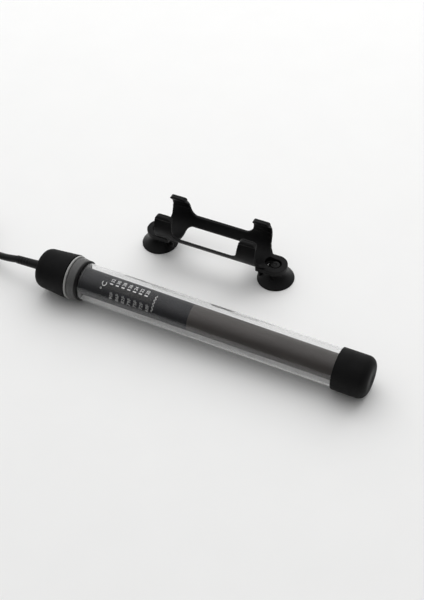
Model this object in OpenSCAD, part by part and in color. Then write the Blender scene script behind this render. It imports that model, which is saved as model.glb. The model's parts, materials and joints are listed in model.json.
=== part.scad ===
// Submersible aquarium heater with its clip-on bracket and mains lead.
// Origin: centre of the base of heater and bracket together. +X runs from the
// adjusting cap to the end cap, +Y from the heater to the bracket, +Z is up.

/* [Glass tube] */
// Outside diameter of the glass tube
tube_d = 29; // [28.6:0.1:29.2]
// Wall thickness of the glass
tube_wall = 1.5; // [1.2:0.1:1.6]
// Length from the adjusting cap's rim to the end cap's mouth
tube_span = 216.4; // [205:0.2:240]

/* [Adjusting cap] */
// Diameter of the cap at its rim
cap_d = 35.4; // [35:0.1:37]
// Length of the cap
cap_len = 27.2; // [26:0.2:30]
// Taper of the cap's side, radius lost for each millimetre
cap_taper = 0.085; // [0.05:0.005:0.1]
// How far the pointer moves for one turn of the cap
pointer_lead = 16; // [14:0.5:16]

/* [End cap] */
// Outside diameter of the end cap
end_d = 31.3; // [31:0.1:32]
// Length of the end cap
end_len = 25.2; // [25:0.1:28]
// Radius of the end cap's rounded edge
end_round = 6.5; // [4:0.5:7]

/* [Inner sleeves] */
// Outside diameter of the dark sleeves inside the glass
sleeve_d = 19.8; // [19.4:0.1:20.4]
// Where the thermostat sleeve meets the heating sleeve
seam_x = 101.6; // [101:0.1:104]

/* [Bracket] */
// Distance between the heater's axis and the bracket's axis
bracket_gap = 76; // [60:1:100]
// Distance of each suction cup from the middle of the bracket
cup_x = 51.1; // [51:0.1:54]
// Height of the axis of the clips above the surface
clip_z = 30.8; // [30.6:0.1:32]
// Inside diameter of the clips
clip_d = 29.4; // [29.4:0.1:29.6]
// Wall thickness of the clips and rails
clip_wall = 2.2; // [2:0.1:2.4]
// Diameter of a suction cup
cup_d = 29.4; // [28:0.2:30]

/* [Mains lead] */
// Diameter of the lead
lead_d = 5.8; // [5.6:0.1:6]

/* [Hidden] */
$fn = 96;

tube_r = tube_d / 2;
bore_r = tube_r - tube_wall;
cap_r = cap_d / 2;
end_r = end_d / 2;
end_x = tube_span + end_len;
sleeve_r = sleeve_d / 2;
sleeve_wall = 0.6;
sleeve_in = sleeve_r - sleeve_wall;

// The heater lies on the rims of its two caps, so its axis dips towards the thinner end cap.
round_start = end_x - end_round;
tilt = atan((cap_r - end_r) / round_start);
clip_r = clip_d / 2;
clip_out = clip_r + clip_wall;
total_depth = cap_r + bracket_gap + clip_out;
heater_x = (cap_len - end_x) / 2;
heater_y = cap_r - total_depth / 2;
heater_z = cap_r * cos(tilt);
bracket_x = heater_x + 83.5;
bracket_y = heater_y + bracket_gap;

// Positions along the heater's axis, from the adjusting cap's rim.
part_gap = 0.15;
index_end = 1.6;
collar_end = 8.4;
seal_end = 10.8;
glass_start = -2;
dome_x = tube_span + 17.6;
dome_round = 8;
stopper_end = 10.4;
sleeve_start = 10.4;
screw_start = 30;
screw_len = 44;
pointer_x = 52;
frame_x = 76;
pivot_x = 91.5;
pivot_z = -0.4;
pivot_r = 0.4;
core_start = 106;
core_end = tube_span - 4;
sleeve_end = tube_span + 1.6;

// Radii of the adjuster, with its running clearances.
run_fit = 0.08;
spindle_r = 5.6;
spindle_bore = 4.1;
cord_sleeve_r = 3.7;
cord_sleeve_bore = 2.95;
screw_r = 6;
groove_r = 4.9;
groove_angle = 54;
scale_angle = 118;

// Bracket details.
arm_in = 27.5;
arm_out = 43.4;
rail_top = clip_z - 5.6;
shell_shift = -1.7;
ear_top = 15.4;
ear_bottom = 11.2;
ear_r = 9.5;
window_y = 9.7;
bead_r = 1.9;
bead_angle = 40;
cup_travel = 4;
pocket_r = 4.8;
pocket_floor = 12.3;
neck_r = 2.35;
head_r = 3.8;

// The lead: a stretch that leaves the head and drops to the surface, a flat coil of two layers
// with the turns side by side, and a tail that climbs over the coil into the plug.
relief_tip = [-160.2, -38.2, 16.7];
lead_points = [
  relief_tip, [-165.2, -38.2, 15.5], [-170.2, -37.9, 14.2], [-175.2, -37.2, 12.8],
  [-180.2, -36.1, 11.1], [-184.5, -35.0, 9.7], [-188.6, -33.8, 8.4], [-192.4, -32.6, 7.1],
  [-196.0, -31.2, 5.9], [-199.2, -29.9, 5.0], [-202.1, -28.6, 4.2], [-204.7, -27.2, 3.6],
  [-207.0, -25.8, 3.2], [-210.5, -22.9, 2.9]
];
coil_centre = [-240.9, -53.3];
coil_out = 43;
coil_step = 6;
coil_turns_down = 3.25;
coil_in = coil_out - coil_step * coil_turns_down;
tail_local = [
  [-39.25, 0, 8.7], [-38.3, -10.2, 9.3], [-34.6, -20, 10.7], [-28.4, -28.4, 12.4],
  [-19.3, -34.2, 13.9], [-8.5, -35.6, 14.8], [1.8, -32.4, 15.8], [9.8, -25, 17],
  [13.4, -16.9, 18], [14.3, -10.7, 18.45]
];
tail_points = [for (p = tail_local) [p[0] + coil_centre[0], p[1] + coil_centre[1], p[2]]];
tail_end = tail_points[len(tail_points) - 1];
plug_relief_len = 14;
plug_len = 36;
plug_w = 35.2;
plug_t = 13.7;
pin_gap = 18.6;
pin_len = 19;
pin_r = 2;
pin_sleeve_len = 10;
plug_at = [tail_end[0], tail_end[1] + plug_relief_len, tail_end[2]];

// ---------- helpers ----------

// Points of an arc in the plane, from angle a to angle b.
function arc(cx, cy, r, a, b, n = 8) =
  [for (i = [0:n]) let (t = a + (b - a) * i / n) [cx + r * cos(t), cy + r * sin(t)]];

// Places its children on the heater's axis, with +X towards the end cap.
module on_heater() {
  translate([heater_x, heater_y, heater_z]) rotate([0, tilt, 0]) children();
}

// Turns a profile of [radius, x] points about the X axis.
module turned(points) {
  rotate([0, 90, 0]) rotate_extrude() polygon(points);
}

// A tube along X.
module ring(x0, x1, r_out, r_in) {
  turned([[r_in, x0], [r_out, x0], [r_out, x1], [r_in, x1]]);
}

// A rod along X through a point of the cross-section.
module rod(x0, x1, r, y = 0, z = 0) {
  translate([x0, y, z]) rotate([0, 90, 0]) cylinder(h = x1 - x0, r = r, $fn = 32);
}

// A box between two corners.
module box(a, b) {
  translate(a) cube(b - a);
}

// Turns its children about the heater's axis, so that +Z points out at the given angle from +Y.
module at_angle(a) {
  rotate([a - 90, 0, 0]) children();
}

// Smooth point on a route, between its given points i and i + 1.
function route_at(p, i, t) =
  let (a = p[max(i - 1, 0)], b = p[i], c = p[i + 1], d = p[min(i + 2, len(p) - 1)])
  0.5 * (2 * b + (c - a) * t + (2 * a - 5 * b + 4 * c - d) * t * t + (3 * b - a - 3 * c + d) * t * t * t);

function unit(v) = v / norm(v);

// Point of the lead screw's thread at position x, for an angle and a radius given at x0.
function on_helix(angle, r, x, x0) =
  let (a = angle + 360 * (x - x0) / pointer_lead) [x, r * cos(a), r * sin(a)];

// Wall faces, as triangles, between rings of n points each.
function walls(rings, n) = [for (i = [0:rings - 2], k = [0:n - 1])
  let (a = i * n + k, b = i * n + (k + 1) % n)
  each [[a, a + n, b], [b, a + n, b + n]]
];

// A round tube of 8 sides swept along a route, with two rings for each given stretch.
module swept(p, r) {
  sides = 8;
  line = [for (i = [0:len(p) - 2], t = [0, 0.5]) route_at(p, i, t), p[len(p) - 1]];
  n = len(line);
  rings = [for (i = [0:n - 1])
    let (
      way = unit(line[min(i + 1, n - 1)] - line[max(i - 1, 0)]),
      side = unit(cross([0, 0, 1], way)),
      up = cross(way, side)
    )
    for (k = [0:sides - 1]) line[i] + r * (cos(360 * k / sides) * side + sin(360 * k / sides) * up)
  ];
  ends = [[for (k = [0:sides - 1]) k], [for (k = [sides - 1:-1:0]) (n - 1) * sides + k]];
  polyhedron(points = rings, faces = concat(ends, walls(n, sides)));
}

// ---------- heater: outside ----------

module glass_tube() {
  outer = concat([[0, dome_x]], arc(tube_r - dome_round, dome_x - dome_round, dome_round, 90, 0, 10));
  inner = arc(tube_r - dome_round, dome_x - dome_round, dome_round - tube_wall, 0, 90, 10);
  color("lightcyan", 0.35) on_heater()
    turned(concat(outer, [[tube_r, glass_start], [bore_r, glass_start]], inner, [[0, dome_x - tube_wall]]));
}

module end_cap() {
  bore_end = dome_x + 1;
  edge = 0.5;
  outer = concat(
    [[tube_r, tube_span], [end_r - edge, tube_span], [end_r, tube_span + edge]],
    arc(end_r - end_round, end_x - end_round, end_round, 0, 90, 10),
    [[0, end_x], [0, bore_end], [tube_r, bore_end]]
  );
  color([0.06, 0.06, 0.06]) on_heater() turned(outer);
}

module end_cushion() {
  color("dimgray") on_heater() ring(dome_x, dome_x + 1, 6, 2);
}

module index_ring() {
  color([0.72, 0.72, 0.7]) on_heater()
    turned([[tube_r, part_gap], [16.8, part_gap], [17.3, 0.5], [17.3, 1.2], [16.9, index_end], [tube_r, index_end]]);
}

module collar_ring() {
  color([0.45, 0.45, 0.44]) on_heater()
    turned([
      [tube_r, index_end], [16.2, index_end], [16.2, 2.3], [16.5, 2.6], [16.4, 4.5], [16, 6.6],
      [15.8, 7.8], [15.5, collar_end], [tube_r, collar_end]
    ]);
}

module seal_ring() {
  color([0.05, 0.05, 0.05]) on_heater()
    turned(concat(
      [[tube_r, collar_end], [15.3, collar_end]],
      arc(15.1, (collar_end + seal_end) / 2, 0.9, -60, 60, 6),
      [[15.1, seal_end], [tube_r, seal_end]]
    ));
}

// ---------- heater: head, adjuster and pointer ----------

module adjusting_cap() {
  corner_len = 6;
  corner_depth = 3;
  side_len = cap_len - corner_len;
  side_end = cap_r - cap_taper * side_len;
  outer = [[cap_r, -part_gap], for (a = [0:9:90])
    [side_end - corner_depth * (1 - cos(a)), -side_len - corner_len * sin(a)]];
  face = [[spindle_r, -cap_len]];
  inner = [
    [spindle_r, 3.5 - cap_len], [10.8, 3.5 - cap_len], [10.8, -20], [13.4, -20], [13.4, -10],
    [15.2, -10], [15.2, -part_gap]
  ];
  color([0.05, 0.05, 0.05]) on_heater() turned(concat(outer, face, inner));
}

module adjuster_spindle() {
  flange = 8.5;
  color("gainsboro") on_heater() {
    ring(0.6 - cap_len, screw_start, spindle_r, spindle_bore);
    ring(3.5 - cap_len, 6 - cap_len, flange, spindle_r);
  }
}

// The two grooves are right-handed, and one passes under the pointer's peg at rest.
module lead_screw() {
  half = groove_angle / 2;
  land = [for (i = [0:6]) half + i * (180 - groove_angle) / 6];
  side = concat([for (a = [-half + 2, 0, half - 2]) [a, groove_r]], [for (a = land) [a, screw_r]]);
  outer = [for (turn = [0, 180], p = side) [p[0] + turn, p[1]]];
  inner = [for (p = outer) [p[0], spindle_bore + 0.05]];
  n = len(outer);
  slices = 30;
  start = scale_angle - 360 * (pointer_x - screw_start) / pointer_lead;
  rings = [for (loop = [outer, inner], i = [0:slices], p = loop)
    on_helix(p[0] + start, p[1], screw_start + screw_len * i / slices, screw_start)];
  under = n * (slices + 1);
  inside = [for (f = walls(slices + 1, n)) [f[0] + under, f[2] + under, f[1] + under]];
  ends = [for (k = [0:n - 1], end = [0, slices])
    let (a = end * n + k, b = end * n + (k + 1) % n)
    each end == 0
      ? [[a, b, b + under], [a, b + under, a + under]]
      : [[a, b + under, b], [a, a + under, b + under]]
  ];
  color("gainsboro") on_heater() polyhedron(points = rings, faces = concat(walls(slices + 1, n), inside, ends));
}

module pointer_nut() {
  nut_len = 6;
  color([0.25, 0.25, 0.25]) on_heater() translate([pointer_x, 0, 0]) {
    ring(-nut_len / 2, nut_len / 2, 8.4, screw_r + 0.4);
    at_angle(scale_angle) {
      translate([0, 0, 5.3]) cylinder(r = 0.8, h = 2, $fn = 32);
      box([-0.7, -1.1, 7.6], [0.7, 1.1, 10.6]);
    }
  }
}

module tube_stopper() {
  boss = sleeve_in;
  color([0.12, 0.12, 0.12]) on_heater() difference() {
    union() {
      ring(-20, -5, 9, spindle_r + run_fit);
      ring(-5, glass_start, tube_r, spindle_r + run_fit);
      ring(glass_start, stopper_end, bore_r, spindle_r + run_fit);
      ring(stopper_end, 16, boss, spindle_r + run_fit);
    }
    for (x = [-12, 2]) {
      ring(x - 1, x + 1, 7.5, spindle_r);
    }
  }
}

module spindle_seals() {
  wire = 0.9;
  color([0.3, 0.1, 0.1]) on_heater() for (x = [-12, 2]) {
    translate([x, 0, 0]) rotate([0, 90, 0]) rotate_extrude()
      translate([spindle_r + run_fit + wire, 0]) circle(r = wire, $fn = 24);
  }
}

module cord_sleeve() {
  color([0.1, 0.1, 0.1]) on_heater() ring(1 - cap_len, frame_x, cord_sleeve_r, cord_sleeve_bore);
}

module cord_conductors() {
  core_r = 1.1;
  for (side = [-1, 1]) {
    color(side < 0 ? "royalblue" : "sienna") on_heater()
      rod(1.5 - cap_len, frame_x + 3.5, core_r, side * 1.3, 0);
  }
}

// ---------- heater: thermostat ----------

module thermostat_sleeve() {
  color([0.08, 0.09, 0.14]) on_heater() difference() {
    ring(sleeve_start, seam_x, sleeve_r, sleeve_in);
    at_angle(scale_angle) box([pointer_x - 19, -1.6, 8], [pointer_x + 19, 1.6, 12]);
  }
}

module thermostat_frame() {
  plate_end = 99;
  color("burlywood") on_heater() {
    ring(frame_x, frame_x + 2, sleeve_in, cord_sleeve_bore);
    box([frame_x + 2, -7.2, -5.2], [plate_end, 7.2, -3.6]);
  }
}

module bimetal_strip() {
  color("goldenrod") on_heater() {
    box([80, -2, 2.4], [97, 2, 2.65]);
    box([80, -2, 2.65], [97, 2, 2.9]);
  }
}

module bimetal_post() {
  color("silver") on_heater() box([94.4, -2.5, -3.6], [97, 2.5, 2.4]);
}

// Two cheeks with a pin between them, on which the contact arm turns.
module contact_post() {
  color("silver") on_heater() {
    box([pivot_x + 1.1, -2.2, -3.6], [pivot_x + 2.4, 2.2, pivot_z + 0.8]);
    for (y = [-2.2, 1.6]) {
      box([pivot_x - 0.8, y, -3.6], [pivot_x + 1.1, y + 0.6, pivot_z + 0.8]);
    }
    translate([pivot_x, -2, pivot_z]) rotate([-90, 0, 0]) cylinder(r = pivot_r, h = 4, $fn = 32);
  }
}

module contact_arm() {
  eye_r = 0.9;
  color("darkgoldenrod") on_heater() {
    box([81, -1.5, pivot_z - 0.2], [pivot_x - pivot_r - 0.2, 1.5, pivot_z + 0.2]);
    translate([83.5, 0, -1]) cylinder(r = 1.2, h = 0.4, $fn = 32);
    translate([pivot_x, -1.5, pivot_z]) rotate([-90, 0, 0]) difference() {
      cylinder(r = eye_r, h = 3, $fn = 32);
      translate([0, 0, -1]) cylinder(r = pivot_r + 0.06, h = 5, $fn = 32);
    }
  }
}

module fixed_contact() {
  color("silver") on_heater() translate([83.5, 0, -3.6]) {
    cylinder(r = 1.6, h = 1.4, $fn = 32);
    cylinder(r = 1.2, h = 2.6, $fn = 32);
  }
}

module snap_magnet() {
  color("dimgray") on_heater() translate([83.5, 0, 0.9]) cylinder(r = 1.5, h = 1.5, $fn = 32);
}

module neon_lamp() {
  color("orange", 0.6) on_heater() {
    rod(81, 88, 1.5, 4.6, -1.6);
    translate([81, 4.6, -1.6]) sphere(r = 1.5, $fn = 32);
  }
}

module lamp_resistor() {
  color("tan") on_heater() {
    rod(80, 81, 0.3, -4.6, -2);
    rod(81, 86, 1, -4.6, -2);
    rod(86, 87, 0.3, -4.6, -2);
  }
}

module thermal_fuse() {
  color("silver") on_heater() {
    rod(89, 96, 1.5, -4.8, -2);
    rod(96, 98, 0.4, -4.8, -2);
  }
}

// ---------- heater: heating element ----------

module divider_disc() {
  color([0.2, 0.19, 0.18]) on_heater() difference() {
    rod(seam_x, seam_x + 0.8, sleeve_r);
    for (side = [-1, 1]) {
      rod(seam_x - 1, seam_x + 2, 0.7, side * 7.3, 0);
    }
  }
}

module heating_sleeve() {
  color([0.16, 0.14, 0.13]) on_heater() ring(seam_x + 0.8, sleeve_end, sleeve_r, sleeve_in);
}

module ceramic_core() {
  color("ivory") on_heater() difference() {
    rod(core_start, core_end, 5.5);
    for (a = [0:60:300]) {
      rod(core_start - 1, core_end + 1, 0.9, 4 * cos(a), 4 * sin(a));
    }
  }
}

// Resistance wire wound round the core, square in section.
module heating_coil() {
  turns = 14;
  per_turn = 16;
  start = core_start + 6;
  wound = core_end - 6 - start;
  wire = [[-0.35, 5.7], [-0.35, 6.4], [0.35, 6.4], [0.35, 5.7]];
  n = turns * per_turn;
  rings = [for (i = [0:n], p = wire)
    let (a = 360 * i / per_turn) [start + p[0] + wound * i / n, p[1] * cos(a), p[1] * sin(a)]];
  ends = [[0, 1, 2, 3], [4 * n + 3, 4 * n + 2, 4 * n + 1, 4 * n]];
  color("gray") on_heater() polyhedron(points = rings, faces = concat(walls(n + 1, 4), ends));
}

module core_supports() {
  color("lightgray") on_heater() for (x = [core_start + 2, core_end - 3.5]) {
    difference() {
      ring(x, x + 1.5, sleeve_in, 5.5);
      for (side = [-1, 1]) {
        rod(x - 1, x + 3, 0.7, side * 7.3, 0);
      }
    }
  }
}

module lead_wires() {
  color("indianred") on_heater() for (side = [-1, 1]) {
    rod(98, core_start + 6, 0.55, side * 7.3, 0);
  }
}

module glass_cushion() {
  color("snow") on_heater() ring(sleeve_end, sleeve_end + 3, bore_r, 5);
}

// ---------- bracket ----------

// Right half of the bracket seen from the side, as [x, z] points.
function side_half() = concat(
  [[0, 5], [51, 5], [51, ear_top]],
  arc(arm_out + 7.5, ear_top + 7.5, 7.5, 270, 180, 6),
  arc(arm_out - 4.2, clip_z + 8.8, 3.8, 0, 90, 5),
  arc(arm_in + 4.8, clip_z + 8.8, 3.8, 90, 180, 5),
  arc(arm_in - 7, rail_top + 7, 7, 0, -90, 6),
  [[0, rail_top]]
);

module side_outline() {
  rotate([90, 0, 0]) linear_extrude(height = 60, center = true) {
    polygon(side_half());
    mirror([1, 0]) polygon(side_half());
  }
}

// The opening between the rails, with rounded corners.
module window() {
  half = arm_in;
  r = 4;
  translate([0, 0, 5]) linear_extrude(height = 25) {
    square([2 * (half - r), 2 * window_y], center = true);
    square([2 * half, 2 * (window_y - r)], center = true);
    for (x = [-1, 1], y = [-1, 1]) {
      translate([x * (half - r), y * (window_y - r)]) circle(r = r);
    }
  }
}

// Plate that carries a suction cup, with its stepped slot.
module ear_solid() {
  translate([0, 0, ear_bottom]) linear_extrude(height = ear_top - ear_bottom) {
    translate([38, -ear_r]) square([cup_x - 38, 2 * ear_r]);
    translate([cup_x, 0]) circle(r = ear_r);
  }
}

module ear_slot() {
  lock_x = cup_x - cup_travel;
  slot_r = neck_r + 0.35;
  translate([0, 0, pocket_floor]) linear_extrude(height = 5) {
    translate([lock_x, -pocket_r]) square([cup_travel, 2 * pocket_r]);
    translate([lock_x, 0]) circle(r = pocket_r);
    translate([cup_x, 0]) circle(r = pocket_r);
  }
  translate([0, 0, ear_bottom - 1]) linear_extrude(height = 3) {
    translate([lock_x, -slot_r]) square([cup_travel, 2 * slot_r]);
    translate([lock_x, 0]) circle(r = slot_r);
    translate([cup_x, 0]) circle(r = slot_r);
  }
}

module bracket_shell() {
  long = 110;
  difference() {
    intersection() {
      union() {
        translate([-long / 2, 0, clip_z]) rotate([0, 90, 0]) cylinder(h = long, r = clip_out);
        for (side = [-1, 1]) {
          translate([-long / 2, side * 16.6 * cos(bead_angle), clip_z + 16.6 * sin(bead_angle)])
            rotate([0, 90, 0]) cylinder(h = long, r = bead_r);
        }
      }
      side_outline();
    }
    translate([-long / 2 - 1, 0, clip_z]) rotate([0, 90, 0]) cylinder(h = long + 2, r = clip_r);
    window();
    // The arms are a little thinner between the horizontal and their beaded tips.
    intersection() {
      translate([-long / 2 - 1, 0, clip_z]) rotate([0, 90, 0]) cylinder(h = long + 2, r = clip_r + 0.7);
      translate([-long / 2 - 1, -30, clip_z]) cube([long + 2, 60, 7.2]);
    }
    translate([-long / 2 - 1, -10, clip_z]) cube([long + 2, 20, 30]);
  }
}

module bracket_frame() {
  color([0.07, 0.07, 0.07]) translate([bracket_x, bracket_y, 0]) difference() {
    union() {
      translate([shell_shift, 0, 0]) bracket_shell();
      ear_solid();
      mirror([1, 0, 0]) ear_solid();
    }
    ear_slot();
    mirror([1, 0, 0]) ear_slot();
  }
}

// Suction cup standing on the surface, with its button up. The pull tab faces the given side.
module suction_cup(tab_side) {
  r = cup_d / 2;
  shoulder = ear_bottom - 0.35;
  dome = [[r - 1.5, 1.9], [r - 3.7, 3.6], [r - 5.7, 5.6], [r - 7.1, 8], [6.9, shoulder - 0.2]];
  hollow = [for (a = [0:15:90]) [(r - 1.4) * cos(a), 3.4 * sin(a)]];
  head = [
    [neck_r, shoulder], [neck_r, pocket_floor + 0.3], [head_r, pocket_floor + 0.3],
    [head_r, 14.3], [head_r - 0.6, 14.9], [1.4, 14.9], [1.1, 14.3], [0, 14.3]
  ];
  under = [for (i = [len(hollow) - 1:-1:0]) hollow[i]];
  rotate_extrude() polygon(concat([[r, 0], [r, 0.7]], dome, [[5.6, shoulder]], head, under));
  translate([tab_side * 11.6, -3, 2]) cylinder(r = 2.1, h = 3.6, $fn = 32);
}

module suction_cup_left() {
  color([0.09, 0.09, 0.09]) translate([bracket_x - cup_x, bracket_y, 0]) suction_cup(1);
}

module suction_cup_right() {
  color([0.09, 0.09, 0.09]) translate([bracket_x + cup_x, bracket_y, 0]) suction_cup(-1);
}

// ---------- mains lead ----------

// Tapered sleeve that droops a little, from the head to the lead.
module strain_relief() {
  base = [heater_x - cap_len + 1, heater_y, heater_z + (cap_len - 1) * sin(tilt)];
  way = relief_tip - base;
  len_xy = norm([way[0], way[1]]);
  color([0.05, 0.05, 0.05]) translate(base) rotate([0, 90 - atan2(way[2], len_xy), atan2(way[1], way[0])])
    cylinder(h = norm(way), r1 = 3.7, r2 = 3.2);
}

module cord_lead() {
  color([0.06, 0.06, 0.06]) swept(lead_points, lead_d / 2);
}

module cord_tail() {
  color([0.06, 0.06, 0.06]) swept(tail_points, lead_d / 2);
}

module cord_coil() {
  r = lead_d / 2;
  inner = coil_in - r;
  outer = coil_out + r;
  color([0.06, 0.06, 0.06]) translate([coil_centre[0], coil_centre[1], 0]) rotate_extrude() {
    translate([inner + r, 0]) square([outer - inner - 2 * r, 4 * r]);
    translate([inner, r]) square([outer - inner, 2 * r]);
    for (x = [inner + r, outer - r], z = [r, 3 * r]) {
      translate([x, z]) circle(r = r, $fn = 32);
    }
  }
}

// Strap round the coil's section, above and beside the turns.
module cord_tie() {
  strap = 0.8;
  wide = 6;
  low = 0.1;
  inner = coil_in - lead_d / 2;
  outer = coil_out + lead_d / 2;
  color([0.15, 0.15, 0.15]) translate([coil_centre[0], coil_centre[1], 0]) rotate([0, 0, 135]) {
    box([inner - strap, -wide / 2, 2 * lead_d], [outer + strap, wide / 2, 2 * lead_d + strap]);
    box([inner - strap - 0.8, -wide / 2, low], [inner - 0.8, wide / 2, 2 * lead_d + strap]);
    box([outer + 0.3, -wide / 2, low], [outer + 0.3 + strap, wide / 2, 2 * lead_d + strap]);
  }
}

module plug_relief() {
  color([0.06, 0.06, 0.06]) translate(tail_end) rotate([-90, 0, 0]) cylinder(h = plug_relief_len, r1 = 3.2, r2 = 5);
}

// Flat plug body, wide where the pins leave it.
module plug_body() {
  w = plug_w / 2;
  outline = concat(
    arc(-6, 2, 2, 270, 180, 4), [[-10.5, 12], [3 - w, 25]], arc(2.5 - w, plug_len - 2.5, 2.5, 180, 90, 4),
    arc(w - 2.5, plug_len - 2.5, 2.5, 90, 0, 4), [[w - 3, 25], [10.5, 12]], arc(6, 2, 2, 0, -90, 4)
  );
  color([0.07, 0.07, 0.07]) translate([plug_at[0], plug_at[1], plug_at[2] - plug_t / 2])
    linear_extrude(height = plug_t) polygon(outline);
}

module plug_pin_sleeves() {
  color([0.1, 0.1, 0.1]) for (side = [-1, 1]) {
    translate([plug_at[0] + side * pin_gap / 2, plug_at[1] + plug_len, plug_at[2]]) rotate([-90, 0, 0])
      difference() {
        cylinder(r = pin_r, h = pin_sleeve_len);
        translate([0, 0, -1]) cylinder(r = 1.5, h = pin_sleeve_len + 2);
      }
  }
}

module plug_pins() {
  round_tip = 0.8;
  color("silver") for (side = [-1, 1]) {
    translate([plug_at[0] + side * pin_gap / 2, plug_at[1] + plug_len, plug_at[2]]) rotate([-90, 0, 0]) {
      cylinder(r = 1.5, h = pin_sleeve_len);
      translate([0, 0, pin_sleeve_len]) cylinder(r = pin_r, h = pin_len - pin_sleeve_len - round_tip);
      translate([0, 0, pin_len - round_tip]) cylinder(r1 = pin_r, r2 = 1.3, h = round_tip);
    }
  }
}

glass_tube();
end_cap();
end_cushion();
index_ring();
collar_ring();
seal_ring();
tube_stopper();
spindle_seals();
cord_sleeve();
cord_conductors();
thermostat_sleeve();
thermostat_frame();
bimetal_strip();
bimetal_post();
contact_post();
fixed_contact();
snap_magnet();
neon_lamp();
lamp_resistor();
thermal_fuse();
divider_disc();
heating_sleeve();
ceramic_core();
heating_coil();
core_supports();
lead_wires();
glass_cushion();
adjusting_cap();
adjuster_spindle();
lead_screw();
pointer_nut();
contact_arm();
bracket_frame();
suction_cup_left();
suction_cup_right();
strain_relief();
cord_lead();
cord_coil();
cord_tie();
cord_tail();
plug_relief();
plug_body();
plug_pin_sleeves();
plug_pins();
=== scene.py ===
"""Looks of the submersible aquarium heater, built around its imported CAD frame.

Blender works in metres. Lengths below are in millimetres, times MM where they meet Blender. Only
the studio's floor and lamps are written in metres.
"""

import json
import math

import bmesh
import bpy
from mathutils import Matrix, Vector


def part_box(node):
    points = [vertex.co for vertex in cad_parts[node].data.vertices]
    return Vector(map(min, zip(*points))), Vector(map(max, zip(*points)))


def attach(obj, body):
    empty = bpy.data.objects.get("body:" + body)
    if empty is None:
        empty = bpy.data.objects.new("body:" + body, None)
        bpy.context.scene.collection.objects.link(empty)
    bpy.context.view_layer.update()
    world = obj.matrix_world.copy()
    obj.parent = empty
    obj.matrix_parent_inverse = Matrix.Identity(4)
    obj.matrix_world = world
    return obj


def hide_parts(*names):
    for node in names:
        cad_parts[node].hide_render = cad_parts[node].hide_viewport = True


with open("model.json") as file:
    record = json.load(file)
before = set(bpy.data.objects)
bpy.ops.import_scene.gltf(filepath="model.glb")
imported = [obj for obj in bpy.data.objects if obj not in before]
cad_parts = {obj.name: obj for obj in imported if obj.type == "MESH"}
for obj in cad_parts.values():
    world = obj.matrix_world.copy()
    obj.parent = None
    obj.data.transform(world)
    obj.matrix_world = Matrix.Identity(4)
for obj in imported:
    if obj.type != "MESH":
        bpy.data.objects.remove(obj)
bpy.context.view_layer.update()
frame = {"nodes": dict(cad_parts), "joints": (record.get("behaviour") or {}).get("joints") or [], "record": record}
NODES = frame["nodes"]
JOINTS = {joint["name"]: joint for joint in frame["joints"]}
MM = 0.001
DEG = math.pi / 180


def new_object(name, data):
    obj = bpy.data.objects.new(name, data)
    bpy.context.scene.collection.objects.link(obj)
    return obj


# ---------- camera ----------

def make_camera():
    """The photo's camera, above and in front of the heater, rolled a little about its own axis."""
    azimuth, elevation, roll = 30.02 * DEG, 47.46 * DEG, -4.79 * DEG
    ahead = Vector((
        -math.sin(azimuth) * math.cos(elevation),
        math.cos(azimuth) * math.cos(elevation),
        -math.sin(elevation),
    ))
    right = ahead.cross(Vector((0, 0, 1))).normalized()
    up = right.cross(ahead)
    turned_right = right * math.cos(roll) + up * math.sin(roll)
    turned_up = up * math.cos(roll) - right * math.sin(roll)
    camera = new_object("camera", bpy.data.cameras.new("camera"))
    camera.data.lens = 63.24
    camera.data.sensor_width = 36
    camera.data.clip_start = 0.01
    place = Matrix((turned_right, turned_up, -ahead)).transposed().to_4x4()
    place.translation = Vector((266.03, -476.39, 596.34)) * MM
    camera.matrix_world = place
    bpy.context.scene.camera = camera


# ---------- materials ----------

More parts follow.
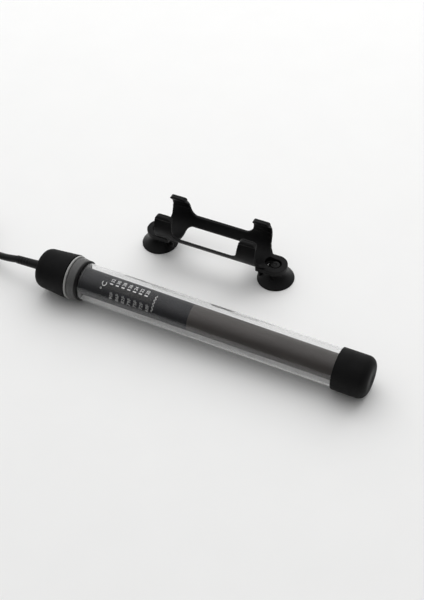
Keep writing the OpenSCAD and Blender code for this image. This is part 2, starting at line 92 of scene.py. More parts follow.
class Paint:
    """A procedural material: one Principled shader, with noise in the object's own space."""

    def __init__(self, name, colour, roughness, metallic=0.0, specular=0.5):
        self.material = bpy.data.materials.new(name)
        self.material.use_nodes = True
        self.tree = self.material.node_tree
        self.shader = self.tree.nodes["Principled BSDF"]
        self.colour = colour
        self.roughness = roughness
        self.set("Base Color", (*colour, 1))
        self.set("Roughness", roughness)
        self.set("Metallic", metallic)
        self.set("Specular IOR Level", specular)
        self.place = self.tree.nodes.new("ShaderNodeTexCoord").outputs["Object"]

    def set(self, socket, value):
        self.shader.inputs[socket].default_value = value
        return self

    def noise(self, scale, detail=3.0, stretch=(1, 1, 1)):
        """Noise whose spots are about `scale` millimetres across."""
        mapping = self.tree.nodes.new("ShaderNodeMapping")
        mapping.inputs["Scale"].default_value = [s / (scale * MM) for s in stretch]
        texture = self.tree.nodes.new("ShaderNodeTexNoise")
        texture.inputs["Scale"].default_value = 1
        texture.inputs["Detail"].default_value = detail
        self.tree.links.new(self.place, mapping.inputs["Vector"])
        self.tree.links.new(mapping.outputs["Vector"], texture.inputs["Vector"])
        return texture.outputs["Fac"]

    def span(self, value, low, high):
        """Maps the middle of a noise value to low..high."""
        node = self.tree.nodes.new("ShaderNodeMapRange")
        node.inputs["From Min"].default_value = 0.3
        node.inputs["From Max"].default_value = 0.7
        node.inputs["To Min"].default_value = low
        node.inputs["To Max"].default_value = high
        self.tree.links.new(value, node.inputs["Value"])
        return node.outputs["Result"]

    def mottle(self, scale, amount, **kind):
        """Colour that varies a little over the surface."""
        mix = self.tree.nodes.new("ShaderNodeMix")
        mix.data_type = "RGBA"
        mix.inputs["A"].default_value = (*[c * (1 - amount) for c in self.colour], 1)
        mix.inputs["B"].default_value = (*[min(1, c * (1 + amount)) for c in self.colour], 1)
        self.tree.links.new(self.span(self.noise(scale, **kind), 0, 1), mix.inputs["Factor"])
        self.tree.links.new(mix.outputs["Result"], self.shader.inputs["Base Color"])
        return self

    def wear(self, scale, amount, **kind):
        """Roughness that varies a little over the surface."""
        low, high = self.roughness - amount, self.roughness + amount
        spots = self.span(self.noise(scale, **kind), low, high)
        self.tree.links.new(spots, self.shader.inputs["Roughness"])
        return self

    def grain(self, scale, depth, strength=1.0, **kind):
        """Fine relief, `depth` millimetres deep."""
        bump = self.tree.nodes.new("ShaderNodeBump")
        bump.inputs["Strength"].default_value = strength
        bump.inputs["Distance"].default_value = depth * MM
        self.tree.links.new(self.noise(scale, **kind), bump.inputs["Height"])
        self.tree.links.new(bump.outputs["Normal"], self.shader.inputs["Normal"])
        return self


def glass_paint(name, colour, shade, ior=1.47):
    """Refracting glass for what the camera sees through it, and plain clear for every other ray.

    The lamps then light what is inside or under the glass with less noise. Each surface passes the
    `shade` share of that light.
    """
    paint = Paint(name, colour, 0.0)
    paint.set("Transmission Weight", 1.0).set("IOR", ior)
    nodes, links = paint.tree.nodes, paint.tree.links
    clear = nodes.new("ShaderNodeBsdfTransparent")
    clear.inputs["Color"].default_value = (*[c * shade for c in colour], 1)
    rays = nodes.new("ShaderNodeLightPath")
    glass = surface = paint.shader.outputs[0]
    # Each mix overrules the ones before it. A refracted ray counts as glossy too, so it is turned
    # back to glass.
    for ray, shader in (
        ("Is Glossy Ray", clear.outputs[0]), ("Is Transmission Ray", glass),
        ("Is Shadow Ray", clear.outputs[0]), ("Is Diffuse Ray", clear.outputs[0]),
    ):
        mix = nodes.new("ShaderNodeMixShader")
        links.new(rays.outputs[ray], mix.inputs[0])
        links.new(surface, mix.inputs[1])
        links.new(shader, mix.inputs[2])
        surface = mix.outputs[0]
    links.new(surface, nodes["Material Output"].inputs["Surface"])
    return paint


PAINTS = {
    "glass": glass_paint("clear_glass", (0.98, 0.98, 0.98), shade=0.86),
    "lamp_glass": glass_paint("lamp_glass", (0.95, 0.5, 0.2), shade=0.7),
    "cap_rubber": Paint("cap_rubber", (0.0045, 0.0045, 0.0047), 0.6, specular=0.12)
    .mottle(9, 0.18).wear(6, 0.05).grain(0.35, 0.012, 0.5),
    "index_plastic": Paint("index_plastic", (0.36, 0.36, 0.35), 0.36, specular=0.35)
    .mottle(4, 0.06).grain(0.5, 0.004),
    "collar_plastic": Paint("collar_plastic", (0.085, 0.085, 0.084), 0.38, specular=0.35)
    .mottle(1.2, 0.22, stretch=(6, 0.5, 0.5)).wear(2, 0.07).grain(0.5, 0.008, stretch=(3, 0.3, 0.3)),
    "seal_rubber": Paint("seal_rubber", (0.005, 0.005, 0.005), 0.4, specular=0.18)
    .mottle(3, 0.2).grain(0.4, 0.006),
    "inner_rubber": Paint("inner_rubber", (0.09, 0.02, 0.02), 0.5).mottle(2, 0.2).grain(0.4, 0.006),
    "inner_plastic": Paint("inner_plastic", (0.3, 0.3, 0.29), 0.42).mottle(5, 0.08).grain(0.5, 0.008),
    "pointer_plastic": Paint("pointer_plastic", (0.02, 0.02, 0.02), 0.5).mottle(5, 0.1).grain(0.5, 0.008),
    "thermostat_film": Paint("thermostat_film", (0.004, 0.0043, 0.008), 0.4, specular=0.08)
    .mottle(14, 0.25).wear(9, 0.04),
    "heating_film": Paint("heating_film", (0.044, 0.036, 0.032), 0.42, specular=0.28)
    .mottle(16, 0.16, stretch=(0.4, 1, 1)).wear(9, 0.04),
    "board": Paint("board", (0.38, 0.24, 0.12), 0.6).mottle(1.5, 0.2, stretch=(0.3, 1, 1)).grain(0.6, 0.02),
    "brass": Paint("brass", (0.62, 0.45, 0.2), 0.32, metallic=1).mottle(3, 0.15).wear(1.5, 0.08),
    "steel": Paint("steel", (0.5, 0.5, 0.5), 0.34, metallic=1).mottle(3, 0.1).wear(1, 0.08),
    "copper": Paint("copper", (0.7, 0.33, 0.19), 0.35, metallic=1).mottle(3, 0.12).wear(1, 0.08),
    "ceramic": Paint("ceramic", (0.7, 0.67, 0.6), 0.75).mottle(4, 0.08).grain(0.5, 0.03),
    "silicone": Paint("silicone", (0.62, 0.62, 0.6), 0.45).set("Subsurface Weight", 0.15).mottle(5, 0.06),
    "bracket_plastic": Paint("bracket_plastic", (0.0045, 0.0045, 0.0047), 0.48, specular=0.17)
    .mottle(7, 0.2).wear(5, 0.06).grain(0.3, 0.012, 0.6),
    "cup_rubber": Paint("cup_rubber", (0.0045, 0.0045, 0.0047), 0.34, specular=0.2)
    .mottle(6, 0.2).wear(4, 0.07).grain(0.6, 0.008, 0.5),
    "lead_jacket": Paint("lead_jacket", (0.005, 0.005, 0.0052), 0.38, specular=0.2)
    .mottle(12, 0.2).wear(8, 0.06).grain(1.1, 0.02, 0.5),
    "plug_plastic": Paint("plug_plastic", (0.0075, 0.0075, 0.0078), 0.5, specular=0.24)
    .mottle(8, 0.18).wear(5, 0.06).grain(0.35, 0.012),
    "pin_metal": Paint("pin_metal", (0.72, 0.7, 0.64), 0.22, metallic=1)
    .mottle(3, 0.05).wear(0.7, 0.07, stretch=(1, 0.1, 1)),
}
PRINT_BRIGHT = Paint("print_bright", (0.88, 0.88, 0.88), 0.5).mottle(0.8, 0.1).wear(1, 0.06)
PRINT_DIM = Paint("print_dim", (0.55, 0.55, 0.54), 0.5).mottle(0.8, 0.16).wear(1, 0.06)


# ---------- shapes ----------

def smoothed(mesh, angle=38):
    """Shades the mesh smooth, but for edges sharper than `angle` degrees."""
    for polygon in mesh.polygons:
        polygon.use_smooth = True
    mesh.set_sharp_from_angle(angle=angle * DEG)


def add_piece(name, mesh, body, slot=None, paint=None, replaces=()):
    """Puts a finished mesh on its body, with its material and what it stands for."""
    smoothed(mesh)
    obj = new_object(name, mesh)
    mesh.materials.clear()
    mesh.materials.append((paint or PAINTS[slot]).material)
    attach(obj, body)
    if replaces:
        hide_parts(*replaces)
    return obj


def mesh_of(name, bm):
    bmesh.ops.recalc_face_normals(bm, faces=bm.faces)
    mesh = bpy.data.meshes.new(name)
    bm.to_mesh(mesh)
    bm.free()
    return mesh


def rounded(outline, radius, steps=5):
    """A closed outline with its corners rounded. A corner may carry its own radius as a third number."""
    result = []
    for i, corner in enumerate(outline):
        here = Vector(corner[:2])
        before, after = Vector(outline[i - 1][:2]), Vector(outline[(i + 1) % len(outline)][:2])
        wanted = corner[2] if len(corner) > 2 else radius
        a, b = (before - here), (after - here)
        if wanted <= 0 or a.length < 1e-6 or b.length < 1e-6:
            result.append(here)
            continue
        half = a.angle(b) / 2
        # Just under half of each side at most, so that neighbouring corners don't meet.
        cut = min(wanted / math.tan(half), 0.48 * a.length, 0.48 * b.length) if half > 0.02 else 0
        if cut < 1e-4:
            result.append(here)
            continue
        first, last = here + a.normalized() * cut, here + b.normalized() * cut
        for k in range(steps + 1):
            t = k / steps
            result.append(first * (1 - t) ** 2 + here * 2 * t * (1 - t) + last * t * t)
    return result


def add_rings(bm, rings, closed):
    """Faces between rows of vertices. A row of one vertex is a tip. An open run gets a face at each end."""
    pairs = list(zip(rings, rings[1:] + rings[:1]))
    for a, b in pairs if closed else pairs[:-1]:
        n = max(len(a), len(b))
        for k in range(n):
            corners = [a[k % len(a)], a[(k + 1) % n % len(a)], b[(k + 1) % n % len(b)], b[k % len(b)]]
            # A tip comes twice and is kept once.
            corners = list(dict.fromkeys(corners))
            if len(corners) > 2:
                bm.faces.new(corners)
    if not closed:
        bm.faces.new(rings[0])
        bm.faces.new(list(reversed(rings[-1])))


def lathe(name, outline, place, around=144):
    """Turns a closed outline of (x, radius) about the local X axis."""
    bm = bmesh.new()
    rings = []
    for x, r in outline:
        count = around if r > 1e-5 else 1
        ring = []
        for k in range(count):
            angle = 2 * math.pi * k / count
            at = Vector((x, r * math.cos(angle), r * math.sin(angle))) * MM
            ring.append(bm.verts.new(place @ at))
        rings.append(ring)
    add_rings(bm, rings, closed=True)
    return mesh_of(name, bm)


def applied(obj):
    """The object's mesh with its modifiers applied. The object itself is taken away."""
    bpy.context.view_layer.update()
    mesh = bpy.data.meshes.new_from_object(obj.evaluated_get(bpy.context.evaluated_depsgraph_get()))
    bpy.data.objects.remove(obj)
    return mesh


def softened(name, node, voxel, passes, faces):
    """A copy of a CAD node's solid with the edges rounded that a mould leaves round.

    It is remeshed in voxels of `voxel` millimetres, smoothed in `passes` and cut down to about `faces`.
    """
    obj = new_object(name, NODES[node].data.copy())
    remesh = obj.modifiers.new("remesh", "REMESH")
    remesh.mode = "VOXEL"
    remesh.voxel_size = voxel * MM
    smooth = obj.modifiers.new("smooth", "SMOOTH")
    smooth.iterations = passes
    bpy.context.view_layer.update()
    count = len(obj.evaluated_get(bpy.context.evaluated_depsgraph_get()).data.polygons)
    decimate = obj.modifiers.new("decimate", "DECIMATE")
    decimate.ratio = min(1.0, faces / (2 * count))
    mesh = applied(obj)
    mesh.name = name
    return mesh


def turned_place(at, way):
    """Matrix with local X along `way`."""
    x = Vector(way).normalized()
    y = Vector((0, 1, 0)) if abs(x.y) < 0.9 else Vector((1, 0, 0))
    z = x.cross(y).normalized()
    place = Matrix((x, z.cross(x), z)).transposed().to_4x4()
    place.translation = at
    return place


def upright_place(at):
    """Matrix with local X upwards."""
    place = Matrix(((0, 1, 0), (0, 0, 1), (1, 0, 0))).to_4x4()
    place.translation = at
    return place


# The heater's own axis, with X from the adjusting cap's rim towards the end cap and angles from +Y to +Z.
HEATER = turned_place(Vector(JOINTS["cap_turn"]["pos_m"]), JOINTS["cap_turn"]["axis"])


# ---------- the mains lead ----------

# The coil lies in two layers. COIL_OUT and COIL_IN are the radii of its outmost and inmost turns.
LEAD_D = 5.8
COIL_AT = Vector((-240.9, -53.3, 0))
COIL_STEP = 6
LOWER_TURNS = 3.25
UPPER_TURNS = 2.625
COIL_OUT = 43
COIL_IN = COIL_OUT - COIL_STEP * LOWER_TURNS
LOWER_Z = LEAD_D / 2
UPPER_Z = LOWER_Z + LEAD_D
# From the strain relief to the coil.
LEAD_POINTS = [
    (-160.2, -38.2, 16.7), (-165.2, -38.2, 15.5), (-170.2, -37.9, 14.2), (-175.2, -37.2, 12.8),
    (-180.2, -36.1, 11.1), (-184.5, -35.0, 9.7), (-188.6, -33.8, 8.4), (-192.4, -32.6, 7.1),
    (-196.0, -31.2, 5.9), (-199.2, -29.9, 5.0), (-202.1, -28.6, 4.2), (-204.7, -27.2, 3.6),
    (-207.0, -25.8, 3.2), (-210.5, -22.9, 2.9),
]
# From the coil to the plug, counted from the coil's centre.
TAIL_POINTS = [
    (-39.25, 0, 8.7), (-38.3, -10.2, 9.3), (-34.6, -20, 10.7), (-28.4, -28.4, 12.4),
    (-19.3, -34.2, 13.9), (-8.5, -35.6, 14.8), (1.8, -32.4, 15.8), (9.8, -25, 17),
    (13.4, -16.9, 18), (14.3, -10.7, 18.45),
]


def smooth_route(points, per_stretch=5):
    """The smooth curve through given points."""
    points = [Vector(p) for p in points]
    route = []
    for i in range(len(points) - 1):
        a, b, c, d = points[max(i - 1, 0)], points[i], points[i + 1], points[min(i + 2, len(points) - 1)]
        for k in range(per_stretch):
            t = k / per_stretch
            square, cube = 2 * a - 5 * b + 4 * c - d, 3 * b - a - 3 * c + d
            route.append((2 * b + (c - a) * t + square * t * t + cube * t ** 3) / 2)
    return route + [points[-1]]


def coil_route(per_turn=48):
    """Inwards on the surface, up onto the inmost turn, and outwards again on top."""
    start = math.pi / 4
    # In turns: the climb to the upper layer, and the stretch before that layer winds outwards.
    climb, level = 1 / 3, 1 / 2
    total = LOWER_TURNS + level + UPPER_TURNS
    route = []
    for i in range(1, round(total * per_turn)):
        t = i / per_turn
        over = max(0, min(1, (t - LOWER_TURNS) / climb))
        inwards, outwards = min(t, LOWER_TURNS), max(0, t - LOWER_TURNS - level)
        radius = COIL_OUT - COIL_STEP * inwards + COIL_STEP * outwards
        height = LOWER_Z + (UPPER_Z - LOWER_Z) * over * over * (3 - 2 * over)
        angle = 2 * math.pi * t + start
        route.append(COIL_AT + Vector((radius * math.cos(angle), radius * math.sin(angle), height)))
    return route


def make_lead():
    """The whole lead as one curve, and its length in metres."""
    tail = [COIL_AT + Vector(p) for p in TAIL_POINTS]
    route = smooth_route(LEAD_POINTS) + coil_route() + smooth_route(tail)
    curve = bpy.data.curves.new("mains_lead", "CURVE")
    curve.dimensions = "3D"
    curve.bevel_depth = LEAD_D / 2 * MM
    curve.bevel_resolution = 5
    curve.use_fill_caps = True
    spline = curve.splines.new("POLY")
    spline.points.add(len(route) - 1)
    for point, at in zip(spline.points, route):
        point.co = (*(at * MM), 1)
    spline.use_smooth = True
    curve.materials.append(PAINTS["lead_jacket"].material)
    lead = new_object("mains_lead", curve)
    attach(lead, "heater")
    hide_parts("cord_lead", "cord_coil", "cord_tail")
    length = sum((b - a).length for a, b in zip(route, route[1:])) * MM
    print(f"the lead is {length:.3f} m long")
    return lead, length


# ---------- heater: glass, caps and rings ----------

TUBE_R = 14.5
BORE_R = 13.0
SLEEVE_R = 9.9
CAP_LEN = 27.2
CAP_RIM_R = 17.7
CAP_TAPER = 0.085
CAP_CORNER_LEN = 6
CAP_CORNER_DEPTH = 3
END_X = 241.6


def arc(cx, cy, r, start, end, steps=10):
    """Points along an arc, from one angle to another in degrees."""
    angles = [(start + (end - start) * k / steps) * DEG for k in range(steps + 1)]
    return [(cx + r * math.cos(a), cy + r * math.sin(a)) for a in angles]


def make_glass():
    mouth, dome, bend = -2.0, 234.0, 8.0
    wall = TUBE_R - BORE_R
    outer = arc(dome - bend, TUBE_R - bend, bend, 0, 90)
    inner = arc(dome - bend, TUBE_R - bend, bend - wall, 90, 0)
    rim = arc(mouth + wall / 2, (TUBE_R + BORE_R) / 2, wall / 2, 90, 270, 6)
    outline = [(dome, 0)] + outer + rim + inner + [(dome - wall, 0)]
    mesh = lathe("heater_glass", outline, HEATER, around=256)
    add_piece("heater_glass", mesh, "heater", "glass", replaces=["glass_tube"])


def cap_side(u):
    """Radius of the adjusting cap, u millimetres from its rim: a tapered side and an elliptical corner."""
    corner = max(0, u - CAP_LEN + CAP_CORNER_LEN) / CAP_CORNER_LEN
    drop = CAP_CORNER_DEPTH * (1 - math.sqrt(max(0, 1 - corner * corner)))
    return CAP_RIM_R - CAP_TAPER * min(u, CAP_LEN - CAP_CORNER_LEN) - drop


def make_adjusting_cap():
    """The cap's shell, whose side lies `inset` millimetres inside the CAD cap's."""
    inset = 0.03
    corner = [CAP_LEN - CAP_CORNER_LEN + CAP_CORNER_LEN * math.sin(a * DEG) for a in range(0, 90, 4)]
    rim = [(-0.15, 15.2), (-0.15, 17.3), (-0.4, 17.6)]
    side = [(-u, cap_side(u) - inset) for u in [1, 5, 9, 13, 17, *corner]]
    face = [
        (-CAP_LEN, 12.6), (-CAP_LEN, 7.4), (-CAP_LEN + 0.4, 7.0), (-CAP_LEN + 0.4, 6.2),
        (-CAP_LEN + 0.1, 5.7),
    ]
    hollow = [(-23.7, 5.7), (-23.7, 10.8), (-20, 10.8), (-20, 13.4), (-10, 13.4), (-10, 15.2)]
    mesh = lathe("cap_shell", rim + side + face + hollow, HEATER, around=192)
    add_piece("cap_shell", mesh, "cap_drive", "cap_rubber", replaces=["adjusting_cap"])


def make_end_cap():
    mouth, radius, bend = 216.4, 15.65, 6.5
    edge = [(mouth, TUBE_R), (mouth, 15.25), (mouth + 0.12, 15.5), (mouth + 0.4, radius)]
    # The round stops just short of the face, which leaves a faint edge there.
    corner = arc(END_X - bend, radius - bend, bend, 90, 8, 22)
    face = [(END_X, radius - bend - 0.4), (END_X, 3.2), (END_X - 0.25, 2.6), (END_X - 0.25, 0)]
    hollow = [(235, 0), (235, TUBE_R - 0.02)]
    mesh = lathe("end_cap_shell", edge + corner + face + hollow, HEATER, around=192)
    add_piece("end_cap_shell", mesh, "heater", "cap_rubber", replaces=["end_cap"])


def make_rings():
    index = [(0.15, TUBE_R), (0.15, 16.8), (0.5, 17.3), (1.25, 17.3), (1.6, 16.9), (1.6, TUBE_R)]
    collar = [
        (1.6, TUBE_R), (1.6, 15.1), (2.35, 15.1), (2.5, 16.45), (4.6, 16.4), (6.6, 16.0),
        (7.9, 15.8), (8.4, 15.4), (8.4, TUBE_R),
    ]
    seal = [(8.4, TUBE_R), (8.4, 15.2), (8.9, 15.85), (10.2, 15.9), (10.8, 15.1), (10.8, TUBE_R)]
    for name, outline, radius, slot in (
        ("index_ring_fine", index, 0.18, "index_plastic"),
        ("collar_ring_fine", collar, 0.22, "collar_plastic"),
        ("seal_ring_fine", seal, 0.5, "seal_rubber"),
    ):
        mesh = lathe(name, rounded(outline, radius), HEATER, around=192)
        add_piece(name, mesh, "heater", slot, replaces=[name.replace("_fine", "")])


# ---------- heater: printing on the sleeve ----------

# Half the thickness of the printed film.
INK = 0.03


def glyphs(body, size):
    """A text's letters as thin closed solids, centred on their own box."""
    curve = bpy.data.curves.new("glyphs", "FONT")
    curve.body = body
    curve.size = size
    curve.extrude = INK
    curve.resolution_u = 4
    mesh = applied(new_object("glyphs", curve))
    bm = bmesh.new()
    bm.from_mesh(mesh)
    bpy.data.meshes.remove(mesh)
    low = [min(v.co[i] for v in bm.verts) for i in range(2)]
    high = [max(v.co[i] for v in bm.verts) for i in range(2)]
    bmesh.ops.translate(bm, verts=bm.verts, vec=(-(low[0] + high[0]) / 2, -(low[1] + high[1]) / 2, 0))
    return bm


def strip(points, width):
    """Thin closed band along flat points."""
    section = ((1, INK), (-1, INK), (-1, -INK), (1, -INK))
    bm = bmesh.new()
    points = [Vector(p) for p in points]
    rings = []
    for i, p in enumerate(points):
        way = (points[min(i + 1, len(points) - 1)] - points[max(i - 1, 0)]).normalized()
        out = Vector((-way.y, way.x)) * width / 2
        rings.append([bm.verts.new((*(p + s * out), z)) for s, z in section])
    add_rings(bm, rings, closed=False)
    return bm


def wrapped(name, marks, paint):
    """Marks of (flat mesh, x, angle) laid round the sleeve. Their tops face the adjusting cap."""
    whole = bmesh.new()
    for flat, x, angle in marks:
        # A cut every half millimetre lets the flat faces bend round the sleeve.
        for step in range(-16, 17):
            cut = list(flat.verts) + list(flat.edges) + list(flat.faces)
            bmesh.ops.bisect_plane(flat, geom=cut, plane_co=(step / 2, 0, 0), plane_no=(1, 0, 0))
        for v in flat.verts:
            turn = angle * DEG - v.co.x / SLEEVE_R
            r = SLEEVE_R + INK + v.co.z
            v.co = HEATER @ (Vector((x - v.co.y, r * math.cos(turn), r * math.sin(turn))) * MM)
        part = bpy.data.meshes.new("part")
        flat.to_mesh(part)
        flat.free()
        whole.from_mesh(part)
        bpy.data.meshes.remove(part)
    add_piece(name, mesh_of(name, whole), "heater", paint=paint)


def make_scale():
    """Two columns of temperatures with a degree sign, and a wave line in place of the maker's word."""
    celsius = [32 - 2 * k for k in range(7)]
    digits = 3.9
    first, pitch = 36.2, 4.93
    bright = [(glyphs(str(t), digits), first + pitch * k, 84.5) for k, t in enumerate(celsius)]
    bright += [(strip([(0, -1.35), (0, 1.35)], 0.9), first + pitch * k, 103.5) for k in range(7)]
    bright += [(glyphs("C", 5.6), 30.6, 112), (glyphs("o", 3.0), 29.2, 133)]
    first, pitch = 38.8, 5.1
    fahrenheit = [f"{round(1.8 * t + 32)}F" for t in celsius]
    dim = [(glyphs(t, digits), first + pitch * k, 152.5) for k, t in enumerate(fahrenheit)]
    length, height, waves, steps = 12.8, 0.65, 5, 64
    wave = [
        (-length / 2 + length * k / steps, height * math.sin(2 * math.pi * waves * k / steps))
        for k in range(steps + 1)
    ]
    dim.append((strip(wave, 0.5), 73.6, 123))
    wrapped("scale_print_bright", bright, PRINT_BRIGHT)
    wrapped("scale_print_dim", dim, PRINT_DIM)


# ---------- bracket and suction cups ----------

def make_bracket():
    mesh = softened("bracket_moulding", "bracket_frame", voxel=0.3, passes=5, faces=90000)
    add_piece("bracket_moulding", mesh, "bracket", "bracket_plastic", replaces=["bracket_frame"])


def make_cup(side, tab_side):
    """A suction cup standing on its rim, with its head above and a pull tab towards `tab_side`."""
    node = f"suction_cup_{side}"
    low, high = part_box(node)
    axis = Vector(((low.x + high.x) / 2, (low.y + high.y) / 2, 0))
    rim = [(0.0, 13.3), (0.0, 14.5), (0.25, 14.68), (0.6, 14.68)]
    flank = [(0.8 + 9.9 * t, 6.9 + 7.7 * (1 - t) ** 1.75) for t in [k / 20 for k in range(21)]]
    head = [
        (10.85, 6.4), (10.85, 2.35), (12.62, 2.35), (12.62, 3.5), (12.85, 3.78), (14.1, 3.8), (14.6, 3.5),
        (14.88, 2.9), (14.88, 1.5), (14.5, 1.1), (14.3, 0),
    ]
    hollow = [(3.4 * math.sin(a * DEG), 13.3 * math.cos(a * DEG)) for a in range(90, 0, -10)]
    mesh = lathe(f"{node}_fine", rim + flank + head + hollow, upright_place(axis))
    add_piece(f"{node}_fine", mesh, f"cup_{side}", "cup_rubber", replaces=[node])
    tab_at = axis + Vector((tab_side * 11.6, -3, 0)) * MM
    tab_outline = rounded([(2.0, 0), (2.0, 2.1), (5.6, 2.1, 0.7), (5.6, 0)], 0)
    tab = lathe(f"cup_tab_{side}", tab_outline, upright_place(tab_at), around=48)
    add_piece(f"cup_tab_{side}", tab, f"cup_{side}", "cup_rubber")


# ---------- strain relief, tie and plug ----------

PLUG_RELIEF_LEN = 14
PLUG_AT = COIL_AT + Vector(TAIL_POINTS[-1]) + Vector((0, PLUG_RELIEF_LEN, 0))
PLUG_LEN = 36.0
PLUG_HALF_WIDTH = 17.6
PIN_OFFSET = 9.3


def groove(x, r, floor_start, floor_end, depth):
    """Outline of one groove, 1.1 mm wide, in a strain relief."""
    return [(x, r), (x + floor_start, r - depth), (x + floor_end, r - depth), (x + 1.1, r)]


def make_relief():
    """The strain relief in the cap's face, grooved towards its tip."""
    tip = Vector(LEAD_POINTS[0]) * MM
    base = HEATER @ (Vector((1 - CAP_LEN, 0, 0)) * MM)
    length = (tip - base).length / MM
    grooves = []
    for k in range(4):
        x = length - 12.5 + 2.6 * k
        grooves += groove(x, 3.7 - 0.5 * x / length, 0.25, 0.85, 0.22)
    outline = [(0, 0), (0, 3.7)] + grooves + [(length - 0.5, 3.22), (length, 3.0), (length, 0)]
    mesh = lathe("lead_relief", outline, turned_place(base, tip - base), around=64)
    return add_piece("lead_relief", mesh, "heater", "lead_jacket", replaces=["strain_relief"])


def make_tie():
    """A band with rounded corners round the coil's section."""
    inner = COIL_IN - LEAD_D / 2 - 1.2
    outer = COIL_OUT + LEAD_D / 2 + 0.7
    top = 2 * LEAD_D + 0.4
    thick = 0.4
    inside = [(inner, 0.5), (outer, 0.5), (outer, top), (inner, top)]
    outside = [
        (inner - thick, 0.1), (outer + thick, 0.1),
        (outer + thick, top + thick), (inner - thick, top + thick),
    ]
    way = Vector((math.cos(135 * DEG), math.sin(135 * DEG), 0))
    across = Vector((-way.y, way.x, 0))
    bm = bmesh.new()
    rings = []
    for a, b in zip(rounded(inside, 2.2, steps=6), rounded(outside, 2.6, steps=6)):
        ring = []
        for p, s in ((a, 3.0), (a, -3.0), (b, -2.8), (b, 2.8)):
            at = COIL_AT + way * p.x + across * s + Vector((0, 0, p.y))
            ring.append(bm.verts.new(at * MM))
        rings.append(ring)
    add_rings(bm, rings, closed=True)
    return add_piece("coil_tie", mesh_of("coil_tie", bm), "heater", "plug_plastic", replaces=["cord_tie"])


def make_plug_shell():
    """The plug's flat body, with soft edges and a groove round its middle."""
    thick, soft = 13.7, 3.2
    groove_depth, groove_half_width = 0.3, 0.35
    flat = rounded([
        (-6, 0, 2), (-9.8, 8, 8), (-12.2, 21, 10), (-PLUG_HALF_WIDTH, 30, 4),
        (-PLUG_HALF_WIDTH, PLUG_LEN, 2.4), (PLUG_HALF_WIDTH, PLUG_LEN, 2.4),
        (PLUG_HALF_WIDTH, 30, 4), (12.2, 21, 10), (9.8, 8, 8), (6, 0, 2),
    ], 0, steps=8)
    centre = Vector((0, PLUG_LEN / 2))
    bm = bmesh.new()
    rings = []
    for k in range(-12, 13):
        z = thick / 2 * math.sin(k / 12 * math.pi / 2)
        depth = soft * (1 - math.sqrt(max(0, 1 - max(0, (abs(z) - thick / 2 + soft) / soft) ** 2)))
        depth += groove_depth if abs(z) < groove_half_width else 0
        ring = []
        for p in flat:
            way = p - centre
            x = p.x - depth * math.copysign(min(1, abs(way.x) / 6), way.x)
            y = p.y - depth * math.copysign(min(1, abs(way.y) / 9), way.y)
            ring.append(bm.verts.new((PLUG_AT + Vector((x, y, z))) * MM))
        rings.append(ring)
    add_rings(bm, rings, closed=False)
    mesh = mesh_of("plug_shell", bm)
    return add_piece("plug_shell", mesh, "heater", "plug_plastic", replaces=["plug_body"])


def make_plug_relief():
    """The plug's own strain relief, wider towards the plug."""
    start = PLUG_AT - Vector((0, PLUG_RELIEF_LEN, 0))
    grooves = []
    for k in range(5):
        x = 2.2 + 2.1 * k
        grooves += groove(x, 3.2 + 1.8 * x / PLUG_RELIEF_LEN, 0.2, 0.9, 0.5)
    end = [(PLUG_RELIEF_LEN, 5), (PLUG_RELIEF_LEN, 0)]
    outline = [(0, 0), (0, 3.05), (0.4, 3.2)] + grooves + end
    mesh = lathe("plug_relief_fine", outline, turned_place(start * MM, (0, 1, 0)), around=64)
    return add_piece("plug_relief_fine", mesh, "heater", "plug_plastic", replaces=["plug_relief"])


def make_plug_pins():
    """Two round pins, thinner where an insulating sleeve lies flush on them."""
    sleeve = [(0, 1.5), (0, 2), (9.9, 2), (10, 1.9), (10, 1.5)]
    pin = [(0, 0), (0, 1.5), (10, 1.5), (10, 2), (17.6, 2), (18.4, 1.75), (18.85, 1.2), (19, 0.6), (19, 0)]
    pieces = []
    for name, outline, slot, node in (
        ("pin_sleeve", sleeve, "plug_plastic", "plug_pin_sleeves"),
        ("pin", pin, "pin_metal", "plug_pins"),
    ):
        for side in (-1, 1):
            at = PLUG_AT + Vector((side * PIN_OFFSET, PLUG_LEN, 0))
            mesh = lathe(f"{name}_{side + 1}", outline, turned_place(at * MM, (0, 1, 0)), around=64)
            pieces.append(add_piece(f"{name}_{side + 1}", mesh, "heater", slot, replaces=[node]))
    return pieces


# ---------- studio ----------

def make_floor():
    bm = bmesh.new()
    bmesh.ops.create_grid(bm, x_segments=1, y_segments=1, size=30)
    floor = new_object("floor", mesh_of("floor", bm))
    floor_paint = Paint("floor_card", (0.86, 0.86, 0.855), 0.85, specular=0.2).mottle(40, 0.006)
    floor.data.materials.append(floor_paint.material)


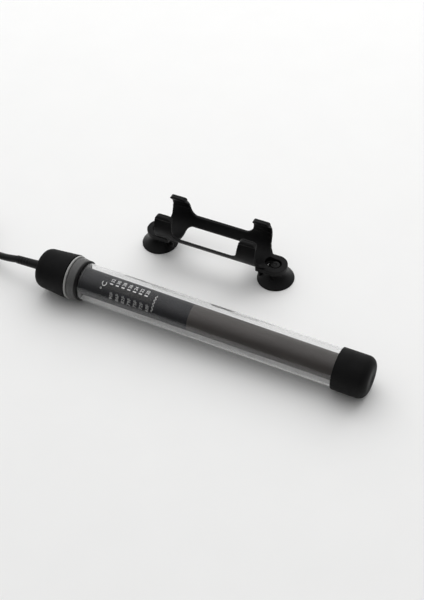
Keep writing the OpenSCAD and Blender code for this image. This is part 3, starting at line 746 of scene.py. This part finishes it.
def make_world():
    """A white studio, brightest above, behind and to the left of the heater."""
    world = bpy.data.worlds.new("studio")
    world.use_nodes = True
    nodes, links = world.node_tree.nodes, world.node_tree.links
    nodes["Background"].inputs["Color"].default_value = (1, 1, 1, 1)
    towards = nodes.new("ShaderNodeVectorMath")
    towards.operation = "DOT_PRODUCT"
    towards.inputs[1].default_value = Vector((-0.35, 0.6, 0.72)).normalized()
    spread = nodes.new("ShaderNodeMapRange")
    spread.interpolation_type = "SMOOTHSTEP"
    spread.inputs["From Min"].default_value = -0.3
    spread.inputs["From Max"].default_value = 1.0
    spread.inputs["To Min"].default_value = 0.15
    spread.inputs["To Max"].default_value = 0.86
    links.new(nodes.new("ShaderNodeTexCoord").outputs["Generated"], towards.inputs[0])
    links.new(towards.outputs["Value"], spread.inputs["Value"])
    links.new(spread.outputs["Result"], nodes["Background"].inputs["Strength"])
    bpy.context.scene.world = world
    # The default transform greys the black parts and the white surface.
    bpy.context.scene.view_settings.view_transform = "Standard"


def make_lamps():
    """Two softboxes turned to the origin. Glossy rays don't see them, so nothing mirrors them."""
    for name, at, size, power in (
        ("softbox_back", (-0.35, 1.1, 1.15), (3.0, 1.5), 20.5),
        ("softbox_top", (0.1, 0.25, 1.6), (1.1, 1.1), 3.2),
    ):
        lamp = bpy.data.lights.new(name, "AREA")
        lamp.shape = "RECTANGLE"
        lamp.size, lamp.size_y = size
        lamp.energy = power
        light = new_object(name, lamp)
        light.location = at
        light.visible_glossy = False
        light.rotation_mode = "QUATERNION"
        light.rotation_quaternion = (-Vector(at)).to_track_quat("-Z", "Y")


def paint_cad_nodes():
    """Every CAD node that still shows gets its slot's material."""
    for subpart in frame["record"]["subparts"]:
        node = NODES[subpart["node"]]
        paint = PAINTS.get(subpart["material_slot"])
        if node.hide_render or paint is None:
            continue
        for slot in node.material_slots:
            slot.material = paint.material


make_camera()
LEAD, LEAD_LENGTH = make_lead()
make_glass()
make_adjusting_cap()
make_end_cap()
make_rings()
make_scale()
make_bracket()
make_cup("left", 1)
make_cup("right", -1)
RELIEF = make_relief()
TIE = make_tie()
PLUG = [make_plug_shell(), make_plug_relief(), *make_plug_pins()]
paint_cad_nodes()
make_floor()
make_world()
make_lamps()
